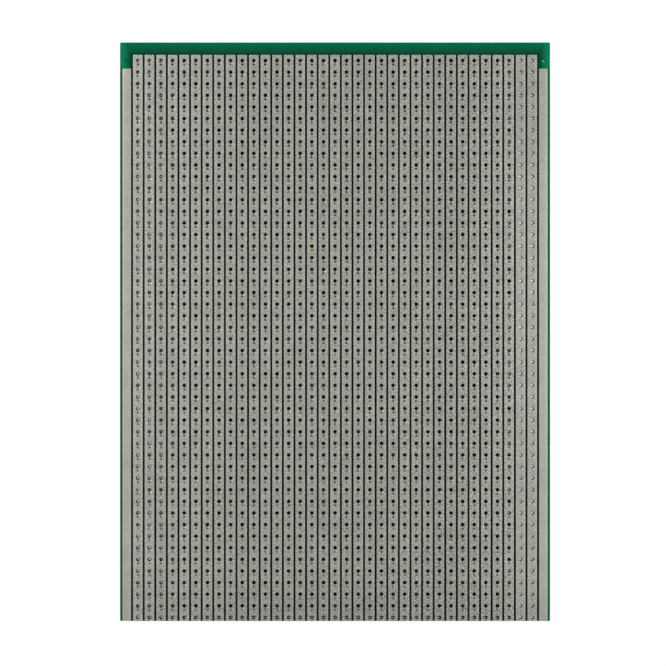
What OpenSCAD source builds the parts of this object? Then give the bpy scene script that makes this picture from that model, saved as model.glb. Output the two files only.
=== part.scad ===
// Prototype board: a glass-epoxy laminate with drilled strips of tinned copper on its upper face,
// a plain tinned rail along each side and a green solder mask over everything else.
// The origin is the middle of the underside. The strips run along Y, and the bare border is at +Y.
// All sizes are in millimetres.

/* [Hole grid] */
// Number of copper strips side by side
strip_count = 35; // [3:1:50]
// Number of holes along each strip
row_count = 49; // [3:1:60]
// Distance between the centre lines of neighbouring strips
strip_pitch = 2.54; // [2:0.01:5.08]
// Distance between neighbouring holes along a strip
row_pitch = 2.54; // [2:0.01:5.08]
// Diameter of the drilled holes
hole_d = 0.8; // [0.5:0.05:1.3]

/* [Copper pattern] */
// Width of the insulating gap between neighbouring strips
strip_gap = 0.44; // [0.2:0.02:0.7]
// Length of strip beyond the centre of its first hole
strip_lead = 1.27; // [0.8:0.01:4]
// Width of the plain rail along each side
rail_w = 1.9; // [0.8:0.1:5]
// Distance from the first row of holes to the upper end of each rail
rail_setback = 1.75; // [0.9:0.01:10]

/* [Board outline] */
// Width of the bare green border above the strips
top_border = 2.7; // [1:0.01:20]
// Distance from the last row of holes to the lower edge, where strips and rails are cut off
bottom_cut = 0.8; // [0.6:0.01:10]
// Width of the green margin outside each rail
side_margin = 0.5; // [0.2:0.05:5]
// Radius of the board's corners
corner_r = 0.3; // [0.1:0.05:1]

/* [Thicknesses] */
// Thickness of the bare laminate
laminate_t = 1.5; // [0.8:0.1:3.2]
// Thickness of the copper with its coat of tin
copper_t = 0.07; // [0.03:0.005:0.2]
// Thickness of the solder mask
mask_t = 0.03; // [0.01:0.005:0.1]

/* [Hidden] */
$fn = 48;

strip_w = strip_pitch - strip_gap;
grid_w = strip_count * strip_pitch;
grid_l = (row_count - 1) * row_pitch;
board_w = grid_w + 2 * (strip_gap / 2 + rail_w + side_margin);
board_l = top_border + strip_lead + grid_l + bottom_cut;

top_y = board_l / 2;
bottom_y = -board_l / 2;
first_row_y = top_y - top_border - strip_lead;
strip_top_y = first_row_y + strip_lead;
rail_top_y = first_row_y - rail_setback;
corner_hole_x = (grid_w + strip_pitch) / 2;

strip_color = [0.64, 0.64, 0.61];
mask_color = [0.03, 0.36, 0.24];
laminate_color = [0.62, 0.66, 0.42];

function strip_x(i) = (i - (strip_count + 1) / 2) * strip_pitch;
function row_y(j) = first_row_y - (j - 1) * row_pitch;
function two_digits(i) = str(i < 10 ? "0" : "", i);
function strip_name(i) = str("strip_", two_digits(i));

// Rectangle with round corners, centred on the origin
module board_outline() {
    square([board_w - 2 * corner_r, board_l], center = true);
    square([board_w, board_l - 2 * corner_r], center = true);
    for (x = [-1, 1], y = [-1, 1])
        translate([x * (board_w / 2 - corner_r), y * (board_l / 2 - corner_r)])
            circle(r = corner_r);
}

// Rectangle from the lower edge of the board up to a height
module run_to_edge(centre_x, width, upper_y) {
    translate([centre_x - width / 2, bottom_y])
        square([width, upper_y - bottom_y]);
}

module strip_outline(i) {
    run_to_edge(strip_x(i), strip_w, strip_top_y);
}

// side is -1 for the left rail and 1 for the right one
module rail_outline(side) {
    centre_x = side * (grid_w / 2 + strip_gap / 2 + rail_w / 2);
    intersection() {
        run_to_edge(centre_x, rail_w, rail_top_y);
        board_outline();
    }
}

// Holes down the middle of one strip
module hole_column(i) {
    for (j = [1:row_count])
        translate([strip_x(i), row_y(j)])
            circle(d = hole_d);
}

// Two holes of the first row stand outside the strips, above the rails
module corner_holes() {
    for (side = [-1, 1])
        translate([side * corner_hole_x, first_row_y])
            circle(d = hole_d);
}

// Under the strips the sheet is left whole, with the drilled grid in the copper alone
module laminate() {
    color(laminate_color)
        linear_extrude(laminate_t)
            difference() {
                board_outline();
                corner_holes();
            }
}

module solder_mask() {
    color(mask_color)
        translate([0, 0, laminate_t])
            linear_extrude(mask_t)
                difference() {
                    board_outline();
                    for (i = [1:strip_count])
                        strip_outline(i);
                    for (side = [-1, 1])
                        rail_outline(side);
                    corner_holes();
                }
}

module rail(side) {
    color(strip_color)
        translate([0, 0, laminate_t])
            linear_extrude(copper_t)
                rail_outline(side);
}

module strip(i) {
    color(strip_color)
        translate([0, 0, laminate_t])
            linear_extrude(copper_t)
                difference() {
                    strip_outline(i);
                    hole_column(i);
                }
}

laminate();
solder_mask();
rail(-1);  // rail_left
rail(1);  // rail_right
for (i = [1:strip_count])
    strip(i);
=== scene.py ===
"""Dresses the prototype board: drilled laminate, 35 tinned strips, two rails and green solder mask."""

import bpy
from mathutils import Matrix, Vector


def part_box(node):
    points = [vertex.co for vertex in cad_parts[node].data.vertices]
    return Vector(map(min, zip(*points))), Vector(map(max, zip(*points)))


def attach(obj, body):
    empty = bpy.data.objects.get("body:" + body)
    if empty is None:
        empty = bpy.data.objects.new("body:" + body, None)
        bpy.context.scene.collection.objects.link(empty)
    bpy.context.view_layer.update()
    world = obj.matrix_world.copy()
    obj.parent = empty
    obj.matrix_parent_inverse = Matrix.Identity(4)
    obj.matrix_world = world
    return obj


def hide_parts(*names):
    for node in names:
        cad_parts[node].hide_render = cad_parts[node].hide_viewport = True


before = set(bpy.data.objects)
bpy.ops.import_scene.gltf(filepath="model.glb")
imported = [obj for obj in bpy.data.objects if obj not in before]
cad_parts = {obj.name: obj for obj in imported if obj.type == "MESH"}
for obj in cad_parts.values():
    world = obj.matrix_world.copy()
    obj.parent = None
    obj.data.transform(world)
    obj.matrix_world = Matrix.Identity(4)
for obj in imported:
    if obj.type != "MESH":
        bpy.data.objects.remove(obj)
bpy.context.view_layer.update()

import math

import bmesh
import bpy
from mathutils import Matrix, Vector

bl_info = {
    "name": "Prototype Board",
    "version": (1, 0, 0),
    "blender": (4, 5, 0),
    "location": "View3D > Sidebar > Prototype Board",
    "description": "Dresses a drilled prototype board with tinned strips, rails and solder mask",
    "category": "Object",
}

MM = 0.001
STRIP_NODES = sorted(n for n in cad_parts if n.startswith("strip_"))
RAIL_NODES = ("rail_left", "rail_right")

# the sheet: its rounded corners, and its holes, which are a little wider than those in the tin
CORNER_ROUND = 0.3 * MM
DRILL_SLACK = 1.02

# how finely holes, long rails, rounded edges and hole rims are divided
HOLE_SEGMENTS = 16
RAIL_SEGMENTS = (2, 48)
EDGE_SEGMENTS = 3
RIM_SEGMENTS = 2
# share of a piece of tin's thickness that its rounded edge may take
EDGE_SHARE = 0.9

# how near two points are that are welded, or that count as the same place
WELD = 0.004 * MM
NEAR = 1e-6
EXACT = 1e-7
# angles in radians: past the first an edge counts as a right angle, past the second it is shaded sharp
FOLD_ANGLE = 1.0
SHARP_ANGLE = math.radians(50)

# places of the painted shade in the dents and of the painted highlight on the solder beads, in
# millimetres from the middle of their hole
DENT_BELOW = 0.86
NECK_BELOW = 0.6
BEAD_RIGHT, BEAD_BELOW = 0.36, 0.5

# the camera, and how much further out it sees the floor through a hole, per distance from the middle
CAMERA_LENS = 74.28
CAMERA_PLACE = (-0.00045, -0.000275, 0.30245)
SEEN_OUTWARD = 0.00523
# the floor's size, how far it lies below the board, and how brightly the camera sees it
FLOOR_SIZE = 3
FLOOR_DROP = 0.02 * MM
FLOOR_GLOW = 1.06
# the light from all around, and the lamps with their names, places, sizes and watts
WORLD_TINT = (0.97, 0.99, 1, 1)
WORLD_LIGHT = 0.42
LAMPS = (
    ("softbox_left", (-0.42, 0.3, 0.42), (0.4, 0.4), 1.9),
    ("softbox_right", (0.46, 0.1, 0.42), (0.4, 0.4), 1.7),
    ("softbox_near", (0.0, -0.5, 0.45), (0.5, 0.3), 0.7),
)


def srgb(r, g, b):
    """Linear colour of an 8-bit one."""
    def linear(c):
        c /= 255
        return c / 12.92 if c <= 0.04045 else ((c + 0.055) / 1.055) ** 2.4

    return linear(r), linear(g), linear(b)


# colours that belong to one place on the board
BLACK, WHITE = (0.0, 0.0, 0.0), (1.0, 1.0, 1.0)
TIN_PATCHES = srgb(138, 138, 129)
RAIL_INSIDE, RAIL_OUTSIDE = srgb(139, 143, 135), srgb(143, 139, 128)
GREEN_FILM = srgb(122, 156, 132)
# MASK_RIM_SHADE is the painted shade along the cut edge of the mask
MASK_SHADE, MASK_MARGIN, MASK_RIM_SHADE = srgb(0, 44, 29), srgb(24, 76, 54), srgb(30, 80, 56)
# painted shade in the blackest gaps between the strips
DEEP_GAP_SHADE = srgb(1, 1, 1)
# painted shade inside the holes, and the lighter wall where light comes up through them
WALL_SHADE_DEEP, WALL_SHADE_PALE = srgb(14, 14, 11), srgb(40, 38, 28)
WALL_UNSHADED, WALL_COATED = srgb(150, 150, 128), srgb(4, 150, 104)
CORNER_LEFT, CORNER_RIGHT = srgb(2, 104, 70), srgb(112, 168, 142)


class BoardSizes(bpy.types.PropertyGroup):
    row_count: bpy.props.IntProperty(
        name="Rows", description="Holes along each strip", default=49, min=2, max=60
    )
    row_pitch: bpy.props.FloatProperty(
        name="Row pitch",
        description="Distance between neighbouring holes of a strip",
        default=2.54 * MM, min=2 * MM, max=6 * MM, precision=5, unit="LENGTH", subtype="DISTANCE",
    )
    strip_pitch: bpy.props.FloatProperty(
        name="Strip pitch",
        description="Distance between the centre lines of neighbouring strips",
        default=2.54 * MM, min=2 * MM, max=6 * MM, precision=5, unit="LENGTH", subtype="DISTANCE",
    )
    hole_diameter: bpy.props.FloatProperty(
        name="Hole diameter",
        description="Diameter of the drilled holes",
        default=0.8 * MM, min=0.4 * MM, max=1.4 * MM, precision=5, unit="LENGTH", subtype="DISTANCE",
    )
    edge_round: bpy.props.FloatProperty(
        name="Edge rounding",
        description="Width of the rounded edge of the tinned strips and rails",
        default=0.06 * MM, min=0.01 * MM, max=0.2 * MM, precision=5, unit="LENGTH", subtype="DISTANCE",
    )
    rim_round: bpy.props.FloatProperty(
        name="Rim rounding",
        description="Width of the rounded rim of each hole in the tin",
        default=0.04 * MM, min=0.01 * MM, max=0.1 * MM, precision=5, unit="LENGTH", subtype="DISTANCE",
    )


class BoardColours(bpy.types.PropertyGroup):
    tin: bpy.props.FloatVectorProperty(
        name="Tin", description="Colour of the tinned copper", subtype="COLOR", size=3,
        default=srgb(139, 142, 127), min=0, max=1,
    )
    # painted highlight: the cooler colour of the light caught by the rounded edges of each strip
    tin_edge_highlight: bpy.props.FloatVectorProperty(
        name="Tin at the edges",
        description="Colour of the tinned copper along the edges of each strip",
        subtype="COLOR", size=3, default=srgb(142, 143, 139), min=0, max=1,
    )
    # painted light: the mask at the outer edges is lit from behind through the sheet
    mask_backlit: bpy.props.FloatVectorProperty(
        name="Mask at the edge", description="Colour of the solder mask at the board's outer edges",
        subtype="COLOR", size=3, default=srgb(0, 122, 80), min=0, max=1,
    )
    # painted shade: the mask beside the strips gets little of the light through the sheet
    mask_shaded: bpy.props.FloatVectorProperty(
        name="Mask beside the tin", description="Colour of the solder mask next to the strips",
        subtype="COLOR", size=3, default=srgb(0, 70, 46), min=0, max=1,
    )
    # painted shade: the narrow gaps between the strips get hardly any light
    gap: bpy.props.FloatVectorProperty(
        name="Gaps", description="Colour in the narrow gaps between the strips",
        subtype="COLOR", size=3, default=srgb(26, 27, 21), min=0, max=1,
    )
    laminate: bpy.props.FloatVectorProperty(
        name="Laminate", description="Colour of the bare glass-epoxy sheet",
        subtype="COLOR", size=3, default=srgb(168, 172, 118), min=0, max=1,
    )


class Layout:
    """Places that every piece shares, in metres."""

    def __init__(self):
        sizes = bpy.context.scene.board_sizes
        self.low, self.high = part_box("laminate")
        self.radius = sizes.hole_diameter / 2
        self.pitch = sizes.row_pitch
        self.strip_pitch = sizes.strip_pitch
        self.rows = sizes.row_count
        self.field = len(STRIP_NODES) * sizes.strip_pitch / 2
        self.field_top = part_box(STRIP_NODES[0])[1].y
        self.first_row = self.field_top - self.pitch / 2
        self.last_cut = self.first_row - self.pitch * (self.rows - 0.5)


def loop_around(bm, centre, low, high, height, radius=None):
    """Edges of a circle with a radius, or of the same ring of points moved out onto a rectangle."""
    made = bmesh.ops.create_circle(bm, cap_ends=False, radius=1, segments=HOLE_SEGMENTS)
    for v in made["verts"]:
        c, s = v.co.x, v.co.y
        if radius is not None:
            v.co = Vector((centre[0] + c * radius, centre[1] + s * radius, height))
            continue
        most = max(abs(c), abs(s))
        c, s = c / most, s / most
        x = centre[0] + c * (high[0] - centre[0] if c > 0 else centre[0] - low[0])
        y = centre[1] + s * (high[1] - centre[1] if s > 0 else centre[1] - low[1])
        v.co = Vector((x, y, height))
    return list({e for v in made["verts"] for e in v.link_edges})


def drilled_cell(bm, centre, low, high, height, radius):
    """A flat rectangle with one round hole in it."""
    inner = loop_around(bm, centre, low, high, height, radius)
    outer = loop_around(bm, centre, low, high, height)
    bmesh.ops.bridge_loops(bm, edges=inner + outer)


def plain_cell(bm, low, high, height, segments=(1, 1)):
    """A flat rectangle without a hole."""
    made = bmesh.ops.create_grid(bm, x_segments=segments[0], y_segments=segments[1], size=0.5)
    for v in made["verts"]:
        v.co = Vector((
            low[0] + (v.co.x + 0.5) * (high[0] - low[0]),
            low[1] + (v.co.y + 0.5) * (high[1] - low[1]),
            height,
        ))


def repeat(bm, count, step):
    """Copies of all that is there in a row, each one step further."""
    geometry = list(bm.verts) + list(bm.edges) + list(bm.faces)
    for k in range(1, count):
        copy = bmesh.ops.duplicate(bm, geom=geometry)
        moved = [g for g in copy["geom"] if isinstance(g, bmesh.types.BMVert)]
        bmesh.ops.translate(bm, verts=moved, vec=Vector(step) * k)


def weld(bm):
    """Joins neighbouring cells into one sheet."""
    bmesh.ops.remove_doubles(bm, verts=bm.verts, dist=WELD)


def cut_short(bm, board):
    """Draws the lower end of the last row in to the edge where the board is cut."""
    for v in bm.verts:
        if v.co.y < board.low.y or abs(v.co.y - board.last_cut) < NEAR:
            v.co.y = board.low.y


def thicken(bm, depth):
    """Turns the flat sheet into a closed plate that reaches down by a depth."""
    made = bmesh.ops.extrude_face_region(bm, geom=list(bm.faces), use_keep_orig=True)
    moved = [g for g in made["geom"] if isinstance(g, bmesh.types.BMVert)]
    bmesh.ops.translate(bm, verts=moved, vec=(0, 0, -depth))
    bmesh.ops.recalc_face_normals(bm, faces=bm.faces)


def crisp_edges(bm, height, chooser=lambda middle: True):
    """Right-angled edges of the top face that a test on their middle picks."""
    found = []
    for e in bm.edges:
        if len(e.link_faces) != 2 or any(abs(v.co.z - height) > EXACT for v in e.verts):
            continue
        if e.calc_face_angle(0) > FOLD_ANGLE and chooser((e.verts[0].co + e.verts[1].co) / 2):
            found.append(e)
    return found


def round_over(bm, edges, width, segments):
    """Rounds some edges."""
    bmesh.ops.bevel(
        bm, geom=edges, offset=width, offset_type="OFFSET", affect="EDGES", segments=segments,
        profile=0.5, material=-1, clamp_overlap=True,
    )


def edge_width(low, high):
    """Width of the rounded upper edge of a piece of tin."""
    return min(bpy.context.scene.board_sizes.edge_round, (high.z - low.z) * EDGE_SHARE)


def crisp_shading(obj):
    """Smooth shading over the rounded edges, with the flat faces kept flat."""
    obj.data.set_sharp_from_angle(angle=SHARP_ANGLE)


def finished(bm, name, materials, nodes):
    """Makes a piece from its bmesh."""
    mesh = bpy.data.meshes.new(name)
    bm.to_mesh(mesh)
    bm.free()
    return placed(mesh, name, materials, nodes)


def placed(mesh, name, materials, nodes):
    """Makes a piece's object, which stands for its CAD nodes and rides on the board."""
    obj = bpy.data.objects.new(name, mesh)
    bpy.context.scene.collection.objects.link(obj)
    for m in materials:
        if m.name not in mesh.materials:
            mesh.materials.append(m)
    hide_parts(*nodes)
    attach(obj, "root")
    return obj


class Graph:
    """Short way to write a material's node tree: each call adds a node and returns its output."""

    def __init__(self, name):
        self.material = bpy.data.materials.new(name)
        self.material.use_nodes = True
        self.tree = self.material.node_tree
        self.tree.nodes.clear()
        self.shader = self.tree.nodes.new("ShaderNodeBsdfPrincipled")
        self.output = self.tree.nodes.new("ShaderNodeOutputMaterial")
        self.tree.links.new(self.shader.outputs[0], self.output.inputs["Surface"])
        place = self.tree.nodes.new("ShaderNodeTexCoord").outputs["Object"]
        scaled = self.tree.nodes.new("ShaderNodeVectorMath")
        scaled.operation = "SCALE"
        scaled.inputs["Scale"].default_value = 1 / MM
        self.tree.links.new(place, scaled.inputs[0])
        self.mm = scaled.outputs[0]
        split = self.tree.nodes.new("ShaderNodeSeparateXYZ")
        self.tree.links.new(self.mm, split.inputs[0])
        self.x, self.y = split.outputs[:2]

    def put(self, socket, value):
        """Links another node's output to a socket, or sets its value."""
        if isinstance(value, bpy.types.NodeSocket):
            self.tree.links.new(value, socket)
        elif isinstance(value, tuple) and len(value) == 3 and socket.type == "RGBA":
            socket.default_value = (*value, 1)
        else:
            socket.default_value = value

    def fill(self, node, **values):
        for key, value in values.items():
            self.put(node.inputs[key.replace("_", " ")], value)

    def math(self, operation, *values, clamp=False):
        node = self.tree.nodes.new("ShaderNodeMath")
        node.operation = operation
        node.use_clamp = clamp
        for socket, value in zip(node.inputs, values):
            self.put(socket, value)
        return node.outputs[0]

    def chain(self, operation, values):
        """One operation over a row of values, from the first to the last."""
        result = values[0]
        for value in values[1:]:
            result = self.math(operation, result, value)
        return result

    def add(self, *values):
        return self.chain("ADD", values)

    def times(self, *values):
        return self.chain("MULTIPLY", values)

    def most(self, *values):
        return self.chain("MAXIMUM", values)

    def minus(self, value, less):
        return self.math("SUBTRACT", value, less)

    def size(self, value):
        return self.math("ABSOLUTE", value)

    def length(self, a, b):
        return self.math("SQRT", self.add(self.times(a, a), self.times(b, b)))

    def smooth(self, value, start, end, low=0.0, high=1.0):
        """Smooth step from low, where the value is at start, to high, where it is at end."""
        node = self.tree.nodes.new("ShaderNodeMapRange")
        node.interpolation_type = "SMOOTHSTEP"
        self.fill(node, Value=value, From_Min=start, From_Max=end, To_Min=low, To_Max=high)
        return node.outputs[0]

    def mix(self, factor, first, second, how="MIX"):
        """Mix of two colours."""
        node = self.tree.nodes.new("ShaderNodeMix")
        node.data_type = "RGBA"
        node.blend_type = how
        node.clamp_result = False
        self.put(node.inputs["Factor"], factor)
        self.put(node.inputs[6], first)
        self.put(node.inputs[7], second)
        return node.outputs[2]

    def mix_value(self, factor, first, second):
        return self.smooth(factor, 0.0, 1.0, first, second)

    def blend(self, factor, first, second):
        """Mix of two shaders."""
        node = self.tree.nodes.new("ShaderNodeMixShader")
        self.put(node.inputs[0], factor)
        self.tree.links.new(first, node.inputs[1])
        self.tree.links.new(second, node.inputs[2])
        return node.outputs[0]

    def noise(self, scale, detail=2.0, roughness=0.5, stretch=None):
        """Grey noise, with its scale in cycles per millimetre."""
        node = self.tree.nodes.new("ShaderNodeTexNoise")
        place = self.mm
        if stretch:
            by = self.tree.nodes.new("ShaderNodeVectorMath")
            by.operation = "MULTIPLY"
            self.tree.links.new(self.mm, by.inputs[0])
            by.inputs[1].default_value = stretch
            place = by.outputs[0]
        self.fill(node, Vector=place, Scale=scale, Detail=detail, Roughness=roughness)
        return node.outputs[0]

    def random(self, place):
        """Three random numbers between 0 and 1, fixed for each place."""
        node = self.tree.nodes.new("ShaderNodeTexWhiteNoise")
        node.noise_dimensions = "3D"
        self.put(node.inputs["Vector"], place)
        split = self.tree.nodes.new("ShaderNodeSeparateColor")
        self.tree.links.new(node.outputs["Color"], split.inputs[0])
        return list(split.outputs)

    def weave(self, scale, direction):
        """Bands of the glass cloth, along one direction."""
        node = self.tree.nodes.new("ShaderNodeTexWave")
        node.wave_type = "BANDS"
        node.bands_direction = direction
        self.fill(node, Vector=self.mm, Scale=scale, Distortion=0.8, Detail=1.0)
        return node.outputs[1]

    def bump(self, height, strength, distance):
        node = self.tree.nodes.new("ShaderNodeBump")
        self.fill(node, Strength=strength, Distance=distance, Height=height)
        self.tree.links.new(node.outputs[0], self.shader.inputs["Normal"])

    def set(self, **values):
        self.fill(self.shader, **values)


class Places:
    """Places on the board that the materials' patterns start from, in millimetres."""

    def __init__(self, g):
        board = Layout()
        self.low, self.high = board.low / MM, board.high / MM
        self.field = board.field / MM
        self.field_top = board.field_top / MM
        self.pitch = board.pitch / MM
        self.strip_pitch = board.strip_pitch / MM
        self.first_row = board.first_row / MM
        self.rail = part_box("rail_right")[1] / MM
        self.side = g.size(g.x)
        self.off_field = g.minus(self.side, self.field)
        self.past_top = g.minus(g.y, self.field_top)


def hole_place(g, p):
    """Place on the drilled grid, from the nearest hole of the nearest strip."""
    half_x, half_y = p.strip_pitch / 2, p.pitch / 2
    across = g.math("WRAP", g.x, half_x, -half_x)
    along = g.math("WRAP", g.minus(g.y, p.first_row), half_y, -half_y)
    return across, along


def hole_luck(g, p, seed):
    """Three random numbers that are the same all over one hole's cell of the grid."""
    across = g.add(g.math("DIVIDE", g.x, p.strip_pitch), len(STRIP_NODES) / 2)
    along = g.math("DIVIDE", g.minus(g.y, p.first_row), p.pitch)
    cell = g.tree.nodes.new("ShaderNodeCombineXYZ")
    g.fill(cell, X=g.math("FLOOR", across), Y=g.math("FLOOR", g.add(along, 0.5)), Z=seed)
    return g.random(cell.outputs[0])


def last_strips(g, p, low=0.0, high=1.0):
    """High on the last two strips, through whose holes the light comes, and low on the others."""
    return g.smooth(g.x, p.field - 5.4, p.field - 4.9, low, high)


def tin_speckle(g, p, grain):
    """Speckle of the tin: stronger on the strips than on the rails, most of all right of the middle."""
    fine = g.noise(3.9, 1.0, 0.5)
    speckle = g.add(g.smooth(grain, 0.32, 0.68, -0.11, 0.11), g.smooth(fine, 0.35, 0.65, -0.19, 0.19))
    strength = g.smooth(g.x, -5.0, 30.0, 1.6, 2.1)
    strength = g.mix_value(last_strips(g, p), strength, 1.3)
    strength = g.mix_value(g.smooth(p.side, p.field - 0.05, p.field), strength, 0.6)
    return g.times(speckle, strength)


def tin_tone(g, p, cloud, grain, edge_highlight):
    """How light the tin is from place to place, about 1."""
    tone = g.add(g.smooth(cloud, 0.32, 0.68, 1.02, 1.1), tin_speckle(g, p, grain))
    # each strip has taken the tin a little differently
    number = g.math("DIVIDE", g.add(g.x, p.field + 2 * p.strip_pitch), p.strip_pitch)
    own = g.tree.nodes.new("ShaderNodeTexWhiteNoise")
    own.noise_dimensions = "1D"
    g.fill(own, W=g.math("FLOOR", number))
    tone = g.add(tone, g.times(g.minus(own.outputs["Value"], 0.5), 0.07))
    # what the tone goes by, where it starts and ends, and how much is added at either end: the outer
    # strips, the rails, the left side and the middle rows are lighter, and a band on the right and the
    # lower edge are duller
    for place, start, end, low, high in (
        (p.side, 12.0, 44.0, -0.05, 0.07),
        (p.side, p.field, p.field + 0.2, 0.0, 0.06),
        (g.x, -p.field - 0.2, -p.field + 6, 0.05, 0.0),
        (g.size(g.y), 5.0, 50.0, 0.07, 0.0),
        (g.size(g.minus(g.x, 28.0)), 3.0, 10.0, -0.09, 0.0),
        (g.y, -63.0, -51.0, -0.15, 0.0),
    ):
        tone = g.add(tone, g.smooth(place, start, end, low, high))
    # the upper right corner is duller, and a painted highlight makes the smooth edges of each strip
    # lighter than its middle
    corner = g.times(g.smooth(g.x, 36.0, 43.0), g.smooth(g.y, 25.0, 55.0))
    return g.add(tone, g.times(corner, -0.11), g.times(edge_highlight, 0.035))


def tin_dents_and_shade(g, p, across, along, luck):
    """Painted shade of the dimple below each hole in the tin, fainter at the lower end and on the last
    strips.
    """
    first, second, third = luck
    dot = g.length(g.add(across, g.smooth(second, 0.0, 1.0, -0.06, 0.06)), g.add(along, DENT_BELOW))
    neck = g.times(
        g.smooth(g.size(across), 0.04, 0.16, 1.0, 0.0),
        g.smooth(g.size(g.add(along, NECK_BELOW)), 0.12, 0.28, 0.7, 0.0),
    )
    dent_and_shade = g.most(g.smooth(dot, 0.17, 0.36, 1.0, 0.0), g.times(neck, g.smooth(third, 0.3, 0.8)))
    fade = g.smooth(g.y, p.low.y, p.field_top, 0.7, 1.0)
    left_out = g.smooth(g.x, p.field - 6, p.field - 4.6, 1.0, 0.15)
    return g.times(dent_and_shade, fade, left_out, g.smooth(first, 0.0, 0.5, 0.65, 1.0))


def tin_hue(g, p, edge_highlight):
    """Colour of the tin: cooler where the painted highlight runs along the edges of each strip, with a
    green film where the mask begins.
    """
    colours = bpy.context.scene.board_colours
    warmth = g.smooth(g.noise(0.25, 2.0), 0.35, 0.65)
    hue = g.mix(warmth, tuple(colours.tin), TIN_PATCHES)
    hue = g.mix(edge_highlight, hue, tuple(colours.tin_edge_highlight))
    on_rail = g.smooth(p.side, p.field, p.field + 0.2)
    across_rail = g.smooth(p.side, p.field + 0.4, p.field + 1.3)
    hue = g.mix(on_rail, hue, g.mix(across_rail, RAIL_INSIDE, RAIL_OUTSIDE))
    # the film lies along the outer edge of the rails and over the upper ends of rails and strips
    ends = g.mix_value(on_rail, p.field_top, p.rail.y)
    film = g.most(
        g.smooth(p.side, p.rail.x - 0.5, p.rail.x - 0.25, 0.0, 0.85),
        g.smooth(g.minus(ends, g.y), 0.1, 0.5, 0.8, 0.0),
    )
    return g.mix(film, hue, GREEN_FILM)


def tin_material():
    """Tinned copper: satin grey and speckled, with a tone for each strip, painted shade below and round
    the holes, and painted highlights beside the holes and along the edges of each strip.
    """
    g = Graph("tinned copper")
    p = Places(g)
    across, along = hole_place(g, p)
    luck = hole_luck(g, p, 1.0)
    in_field = g.smooth(p.side, p.field - 0.05, p.field, 1.0, 0.0)
    # painted highlight along both edges of each strip
    edge_highlight = g.times(g.smooth(g.size(across), 0.45, 0.9), in_field)
    cloud = g.noise(0.3, 3.0, 0.6)
    grain = g.noise(2.6, 2.0, 0.7)
    tone = tin_tone(g, p, cloud, grain, edge_highlight)
    # painted shade of the dimple below each hole; the same mask also dips the bump
    dents_and_shade = tin_dents_and_shade(g, p, across, along, luck)
    # a dark rim of painted shade runs round each hole, and beside some of them a painted highlight
    # shines where solder has run up
    rim = g.smooth(g.length(across, along), 0.38, 0.54, 0.32, 0.0)
    shade = g.times(g.math("ADD", g.times(dents_and_shade, 0.95), rim, clamp=True), in_field)
    bead_glint = g.length(g.minus(across, BEAD_RIGHT), g.add(along, BEAD_BELOW))
    bead_glint = g.smooth(bead_glint, 0.06, 0.3, 0.5, 0.0)
    bead_glint = g.times(bead_glint, g.smooth(luck[1], 0.35, 0.95), in_field)
    tone = g.add(g.times(tone, g.minus(1.0, shade)), bead_glint)
    g.set(
        Base_Color=g.mix(1.0, tin_hue(g, p, edge_highlight), tone, "MULTIPLY"),
        Metallic=0.55,
        Roughness=g.smooth(cloud, 0.3, 0.7, 0.42, 0.54),
    )
    height = g.minus(g.times(cloud, 0.6), g.times(dents_and_shade, 0.5))
    g.bump(g.add(height, g.times(grain, 0.2)), 0.3, 0.06 * MM)
    return g.material


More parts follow.
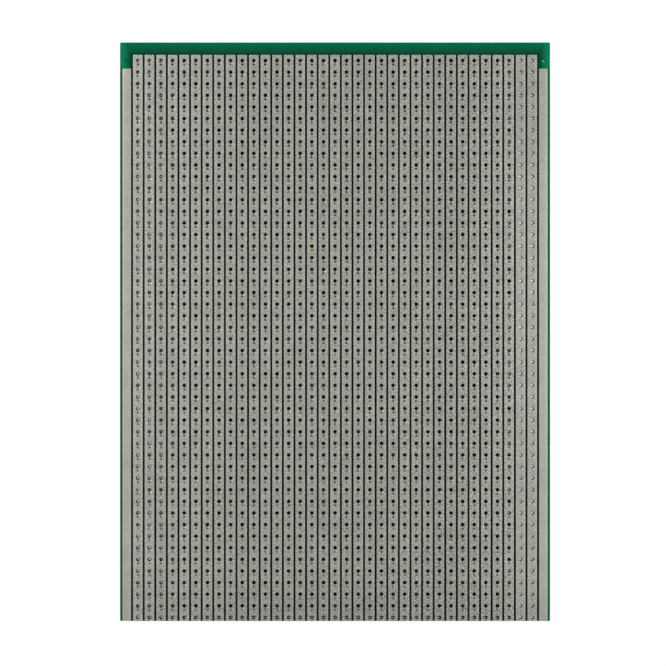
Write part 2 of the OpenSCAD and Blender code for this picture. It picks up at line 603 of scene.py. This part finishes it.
def mask_material():
    """Green solder mask: bright with painted light through the sheet at the outer edges, dark with
    painted shade beside the tin, almost black with painted shade in the gaps.
    """
    colours = bpy.context.scene.board_colours
    g = Graph("solder mask")
    p = Places(g)
    from_side = g.minus(p.high.x, p.side)
    from_top = g.minus(p.high.y, g.y)
    ripple = g.noise(0.3, 2.0)
    wobble = g.smooth(ripple, 0.3, 0.7, -0.2, 0.2)
    # painted light that shines through the sheet from behind: lighter towards the upper edge, and
    # lightest in the two upper corners and along the sides
    upper = g.smooth(g.add(from_top, wobble), 0.1, 2.9, 0.5, 0.0)
    outer = g.smooth(g.add(from_side, wobble), 0.5, 2.3, 1.0, 0.0)
    colour = g.mix(g.most(upper, outer), tuple(colours.mask_shaded), tuple(colours.mask_backlit))
    # painted shade round the ends of the strips, and then painted shade in the gaps, some blacker than
    # others
    halo = g.smooth(g.most(p.off_field, p.past_top), 0.1, 0.6, 0.75, 0.0)
    colour = g.mix(halo, colour, MASK_SHADE)
    beside_rail = g.times(
        g.smooth(p.off_field, 0.24, 0.3, 1.0, 0.0),
        g.smooth(g.y, p.rail.y - 0.2, p.rail.y + 0.6, 1.0, 0.0),
    )
    between = g.times(
        g.smooth(p.off_field, -0.3, -0.1, 1.0, 0.0),
        g.smooth(p.past_top, -0.3, 0.1, 1.0, 0.0),
    )
    number = g.tree.nodes.new("ShaderNodeCombineXYZ")
    count = g.math("DIVIDE", g.add(g.x, p.field), p.strip_pitch)
    g.fill(number, X=g.math("FLOOR", g.add(count, 0.5)))
    blackness = g.smooth(g.random(number.outputs[0])[0], 0.25, 0.6)
    flecks = g.smooth(g.noise(1.6, 2.0, 0.6), 0.4, 0.65, 0.0, 0.5)
    dark = g.mix(g.most(blackness, flecks), DEEP_GAP_SHADE, tuple(colours.gap))
    colour = g.mix(g.most(beside_rail, between), colour, dark)
    # the narrow margins outside the rails are duller than the wide band along the upper edge, and so is
    # the outermost rim, where painted shade stands for the cut edge
    margin = g.smooth(g.y, p.rail.y - 1.0, p.rail.y + 1.0, 0.95, 0.0)
    margin = g.times(margin, g.smooth(from_side, 0.5, 0.6, 1.0, 0.0))
    colour = g.mix(margin, colour, MASK_MARGIN)
    rim = g.smooth(g.math("MINIMUM", from_side, from_top), 0.02, 0.3, 0.75, 0.0)
    colour = g.mix(rim, colour, MASK_RIM_SHADE)
    fine = g.smooth(g.noise(3.0, 2.0), 0.3, 0.7, -0.05, 0.05)
    tone = g.add(g.smooth(ripple, 0.3, 0.7, 0.95, 1.05), fine)
    g.set(Base_Color=g.mix(1.0, colour, tone, "MULTIPLY"), Roughness=0.3, Specular_IOR_Level=0.05)
    g.bump(ripple, 0.08, 0.05 * MM)
    return g.material


def laminate_material():
    """Bare glass-epoxy: pale yellow-green with the weave of the glass cloth."""
    colours = bpy.context.scene.board_colours
    g = Graph("glass epoxy")
    cloth = g.times(g.weave(0.62, "X"), g.weave(0.62, "Y"))
    speckle = g.smooth(g.noise(1.6, 3.0, 0.6), 0.3, 0.7, -0.06, 0.06)
    tone = g.add(g.smooth(cloth, 0.0, 1.0, 0.93, 1.03), speckle)
    g.set(Base_Color=g.mix(1.0, tuple(colours.laminate), tone, "MULTIPLY"), Roughness=0.55)
    g.bump(cloth, 0.15, 0.04 * MM)
    return g.material


def wall_material():
    """Wall of a drilled hole: rough cut epoxy, painted brown-black with the shade inside the hole, with
    streaks.
    """
    g = Graph("drilled wall")
    p = Places(g)
    streak = g.noise(3.0, 2.0, 0.6, (1.0, 1.0, 6.0))
    colour = g.mix(streak, WALL_SHADE_DEEP, WALL_SHADE_PALE)
    # the last strips' holes, where light comes up through them, are spared most of the painted shade,
    # and the corner holes are coated by the solder mask
    colour = g.mix(last_strips(g, p, 0.0, 0.75), colour, WALL_UNSHADED)
    coated = g.smooth(p.side, p.field, p.field + 0.2)
    colour = g.mix(coated, colour, WALL_COATED)
    g.set(Base_Color=colour, Roughness=0.8, Specular_IOR_Level=0.1)
    g.bump(streak, 0.4, 0.03 * MM)
    return g.material


def light_below(g, p):
    """Colour of the light under the holes: most on the right, some on the left, hardly any between."""
    across, along = hole_place(g, p)
    first, second, third = hole_luck(g, p, 2.0)
    # the camera sees the floor through a hole further out than the hole, and the light comes from aside
    lean = g.smooth(g.x, -20.0, 20.0, 0.05, -0.12)
    spot_x = g.minus(across, g.add(g.times(g.x, SEEN_OUTWARD), lean))
    spot_y = g.minus(along, g.add(g.times(g.y, SEEN_OUTWARD), 0.06))
    spot = g.smooth(g.length(spot_x, spot_y), 0.14, 0.32, 1.0, 0.0)
    right = g.times(
        last_strips(g, p),
        g.smooth(first, 0.1, 0.6, 0.75, 1.0),
        g.smooth(g.y, -60.0, 20.0, 0.62, 1.0),
    )
    third_last = g.smooth(g.x, p.field - 7.8, p.field - 7.4, 0.0, 0.3)
    third_last = g.times(third_last, g.smooth(third, 0.2, 0.8))
    left = g.smooth(g.x, -p.field + 2.5, -p.field + 11.0, 0.5, 0.0)
    beam = g.most(right, third_last, g.times(left, g.smooth(first, 0.1, 0.9, 0.2, 1.0)))
    dusk = g.smooth(second, 0.4, 1.0, 0.0, 0.022)
    near = g.most(last_strips(g, p, 0.0, 0.16), g.times(left, 0.1))
    light = g.mix(g.most(dusk, near, g.times(beam, spot)), BLACK, WHITE)
    # under the two corner holes the light is green, and there is little of it on the left
    corner = g.smooth(p.side, p.field + 0.4, p.field + 0.6)
    tint = g.mix(g.smooth(g.x, -1.0, 1.0), CORNER_LEFT, CORNER_RIGHT)
    return g.mix(corner, light, tint)


def floor_material():
    """White to the camera, dark under the board but for the light below its holes, clear from below."""
    g = Graph("studio floor")
    p = Places(g)
    g.set(Base_Color=(0.8, 0.8, 0.8), Roughness=0.9, Specular_IOR_Level=0.0)
    outside = g.most(
        g.smooth(p.side, p.high.x - 0.6, p.high.x - 0.3),
        g.smooth(g.size(g.y), p.high.y - 0.6, p.high.y - 0.3),
    )
    glow = g.tree.nodes.new("ShaderNodeEmission")
    g.fill(glow, Color=g.mix(outside, light_below(g, p), WHITE), Strength=FLOOR_GLOW)
    seen = seen_directly(g.tree)
    clear = g.tree.nodes.new("ShaderNodeBsdfTransparent")
    below = g.tree.nodes.new("ShaderNodeNewGeometry").outputs["Backfacing"]
    # under the board only the camera sees the floor, so that the floor doesn't shade the underside
    hidden = g.times(g.minus(1.0, outside), g.minus(1.0, seen))
    both = g.blend(g.times(seen, 0.85), g.shader.outputs[0], glow.outputs[0])
    both = g.blend(g.most(hidden, below), both, clear.outputs[0])
    g.tree.links.new(both, g.output.inputs["Surface"])
    return g.material


def seen_directly(tree):
    """1 for what the camera, a reflection or clear glass sees, and 0 for what only lights the board."""
    path = tree.nodes.new("ShaderNodeLightPath")
    best = path.outputs["Is Camera Ray"]
    for other in ("Is Glossy Ray", "Is Transmission Ray"):
        node = tree.nodes.new("ShaderNodeMath")
        node.operation = "MAXIMUM"
        tree.links.new(best, node.inputs[0])
        tree.links.new(path.outputs[other], node.inputs[1])
        best = node.outputs[0]
    return best


class BOARD_OT_laminate(bpy.types.Operator):
    """Builds the drilled glass-epoxy sheet"""

    bl_idname = "board.laminate"
    bl_label = "Laminate"

    def execute(self, context):
        b = Layout()
        top = b.high.z
        radius = b.radius * DRILL_SLACK
        bm = bmesh.new()
        half = b.strip_pitch / 2
        drilled_cell(bm, (0, 0), (-half, -b.pitch / 2), (half, b.pitch / 2), top, radius)
        repeat(bm, b.rows, (0, -b.pitch, 0))
        repeat(bm, len(STRIP_NODES), (b.strip_pitch, 0, 0))
        bmesh.ops.translate(bm, verts=bm.verts, vec=(-b.field + half, b.first_row, 0))
        cut_short(bm, b)
        # beside the field of strips the sheet is plain but for one hole in each upper corner
        for side in (-1, 1):
            near, far = side * b.field, side * b.high.x
            hole = (side * (b.field + half), b.first_row)
            low_x, high_x = min(near, far), max(near, far)
            below_hole = b.first_row - b.pitch / 2
            drilled_cell(bm, hole, (low_x, below_hole), (high_x, b.field_top), top, radius)
            plain_cell(bm, (low_x, b.low.y), (high_x, below_hole), top)
        plain_cell(bm, (b.low.x, b.field_top), (b.high.x, b.high.y), top)
        weld(bm)
        thicken(bm, b.high.z - b.low.z)
        corners = [
            e for e in bm.edges
            if abs(e.verts[0].co.z - e.verts[1].co.z) > 0.5 * top
            and all(abs(abs(v.co.x) - b.high.x) < EXACT for v in e.verts)
            and all(abs(abs(v.co.y) - b.high.y) < EXACT for v in e.verts)
        ]
        round_over(bm, corners, CORNER_ROUND, EDGE_SEGMENTS)
        # the upright faces near a hole are its wall, with a material of its own
        reach = radius * 1.2
        for f in bm.faces:
            if abs(f.normal.z) > 0.5:
                continue
            c = f.calc_center_median()
            dx = (c.x + b.strip_pitch / 2) % b.strip_pitch - b.strip_pitch / 2
            dy = (c.y - b.first_row + b.pitch / 2) % b.pitch - b.pitch / 2
            f.material_index = 1 if math.hypot(dx, dy) < reach else 0
            f.smooth = f.material_index == 1
        finished(bm, "laminate_sheet", [laminate_material(), wall_material()], ["laminate"])
        return {"FINISHED"}


class BOARD_OT_strips(bpy.types.Operator):
    """Builds the tinned strips, each with its row of holes"""

    bl_idname = "board.strips"
    bl_label = "Tinned Strips"

    def execute(self, context):
        b = Layout()
        tin = tin_material()
        low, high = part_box(STRIP_NODES[0])
        half = (high.x - low.x) / 2
        bm = bmesh.new()
        drilled_cell(bm, (0, 0), (-half, -b.pitch / 2), (half, b.pitch / 2), high.z, b.radius)
        repeat(bm, b.rows, (0, -b.pitch, 0))
        bmesh.ops.translate(bm, verts=bm.verts, vec=(0, b.first_row, 0))
        cut_short(bm, b)
        weld(bm)
        thicken(bm, high.z - low.z)

        def on_outline(c):
            return min(abs(abs(c.x) - half), abs(c.y - high.y), abs(c.y - low.y)) < NEAR

        round_over(bm, crisp_edges(bm, high.z, on_outline), edge_width(low, high), EDGE_SEGMENTS)
        round_over(bm, crisp_edges(bm, high.z), context.scene.board_sizes.rim_round, RIM_SEGMENTS)
        for f in bm.faces:
            f.smooth = True
        # one strip is made at x = 0, and each node's strip is a copy of it
        first = bpy.data.meshes.new("tin_01")
        bm.to_mesh(first)
        bm.free()
        first.materials.append(tin)
        for node in STRIP_NODES:
            box_low, box_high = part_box(node)
            mesh = first.copy()
            mesh.transform(Matrix.Translation(((box_low.x + box_high.x) / 2, 0, 0)))
            mesh.name = node + "_tin"
            crisp_shading(placed(mesh, node + "_tin", [tin], [node]))
        bpy.data.meshes.remove(first)
        return {"FINISHED"}


class BOARD_OT_rails(bpy.types.Operator):
    """Builds the plain tinned rail along each side"""

    bl_idname = "board.rails"
    bl_label = "Side Rails"

    def execute(self, context):
        tin = bpy.data.materials.get("tinned copper") or tin_material()
        for node in RAIL_NODES:
            low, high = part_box(node)
            bm = bmesh.new()
            plain_cell(bm, low, high, high.z, segments=RAIL_SEGMENTS)
            thicken(bm, high.z - low.z)
            round_over(bm, crisp_edges(bm, high.z), edge_width(low, high), EDGE_SEGMENTS)
            for f in bm.faces:
                f.smooth = True
            crisp_shading(finished(bm, node + "_tin", [tin], [node]))
        return {"FINISHED"}


class BOARD_OT_mask(bpy.types.Operator):
    """Gives the solder mask its green finish"""

    bl_idname = "board.mask"
    bl_label = "Solder Mask"

    def execute(self, context):
        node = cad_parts["solder_mask"]
        material = mask_material()
        if not node.material_slots:
            node.data.materials.append(material)
        for s in node.material_slots:
            s.material = material
        return {"FINISHED"}


def softbox(name, place, size, power):
    """A rectangular lamp that points at the middle of the board."""
    data = bpy.data.lights.new(name, "AREA")
    data.shape = "RECTANGLE"
    data.size, data.size_y = size
    data.energy = power
    lamp = bpy.data.objects.new(name, data)
    lamp.location = place
    lamp.rotation_euler = (-Vector(place)).to_track_quat("-Z", "Y").to_euler()
    bpy.context.scene.collection.objects.link(lamp)


def studio_world():
    """White where it is seen, and a soft bluish white where it only lights the board."""
    world = bpy.data.worlds.new("studio")
    world.use_nodes = True
    tree = world.node_tree
    tree.nodes.clear()
    out = tree.nodes.new("ShaderNodeOutputWorld")
    seen = tree.nodes.new("ShaderNodeBackground")
    lit = tree.nodes.new("ShaderNodeBackground")
    seen.inputs[0].default_value = (1, 1, 1, 1)
    lit.inputs[0].default_value = WORLD_TINT
    lit.inputs[1].default_value = WORLD_LIGHT
    both = tree.nodes.new("ShaderNodeMixShader")
    tree.links.new(seen_directly(tree), both.inputs[0])
    tree.links.new(lit.outputs[0], both.inputs[1])
    tree.links.new(seen.outputs[0], both.inputs[2])
    tree.links.new(both.outputs[0], out.inputs["Surface"])
    return world


class BOARD_OT_stage(bpy.types.Operator):
    """Sets up the floor, the lights and the camera above the board"""

    bl_idname = "board.stage"
    bl_label = "Stage"

    def execute(self, context):
        scene = context.scene
        bm = bmesh.new()
        bmesh.ops.create_grid(bm, x_segments=1, y_segments=1, size=FLOOR_SIZE)
        mesh = bpy.data.meshes.new("floor")
        bm.to_mesh(mesh)
        bm.free()
        floor = bpy.data.objects.new("floor", mesh)
        scene.collection.objects.link(floor)
        mesh.materials.append(floor_material())
        floor.location.z = -FLOOR_DROP

        scene.world = studio_world()
        for lamp in LAMPS:
            softbox(*lamp)

        camera = bpy.data.cameras.new("camera")
        camera.sensor_width = 36
        camera.lens = CAMERA_LENS
        camera.clip_start, camera.clip_end = 0.01, 20
        eye = bpy.data.objects.new("camera", camera)
        eye.location = CAMERA_PLACE
        scene.collection.objects.link(eye)
        scene.camera = eye
        scene.view_settings.view_transform = "Standard"
        return {"FINISHED"}


class BOARD_PT_panel(bpy.types.Panel):
    bl_label = "Prototype Board"
    bl_idname = "BOARD_PT_panel"
    bl_space_type = "VIEW_3D"
    bl_region_type = "UI"
    bl_category = "Prototype Board"

    def draw(self, context):
        for group in (context.scene.board_sizes, context.scene.board_colours):
            box = self.layout.box()
            for key in group.bl_rna.properties.keys():
                if key not in ("rna_type", "name"):
                    box.prop(group, key)
        for op in OPERATORS:
            self.layout.operator(op.bl_idname)


OPERATORS = (BOARD_OT_laminate, BOARD_OT_strips, BOARD_OT_rails, BOARD_OT_mask, BOARD_OT_stage)
CLASSES = (BoardSizes, BoardColours, *OPERATORS, BOARD_PT_panel)


def register():
    for c in CLASSES:
        bpy.utils.register_class(c)
    bpy.types.Scene.board_sizes = bpy.props.PointerProperty(type=BoardSizes)
    bpy.types.Scene.board_colours = bpy.props.PointerProperty(type=BoardColours)


def unregister():
    del bpy.types.Scene.board_colours
    del bpy.types.Scene.board_sizes
    for c in reversed(CLASSES):
        bpy.utils.unregister_class(c)


def main():
    register()
    bpy.ops.board.laminate()
    bpy.ops.board.strips()
    bpy.ops.board.rails()
    bpy.ops.board.mask()
    bpy.ops.board.stage()


if __name__ == "__main__":
    main()
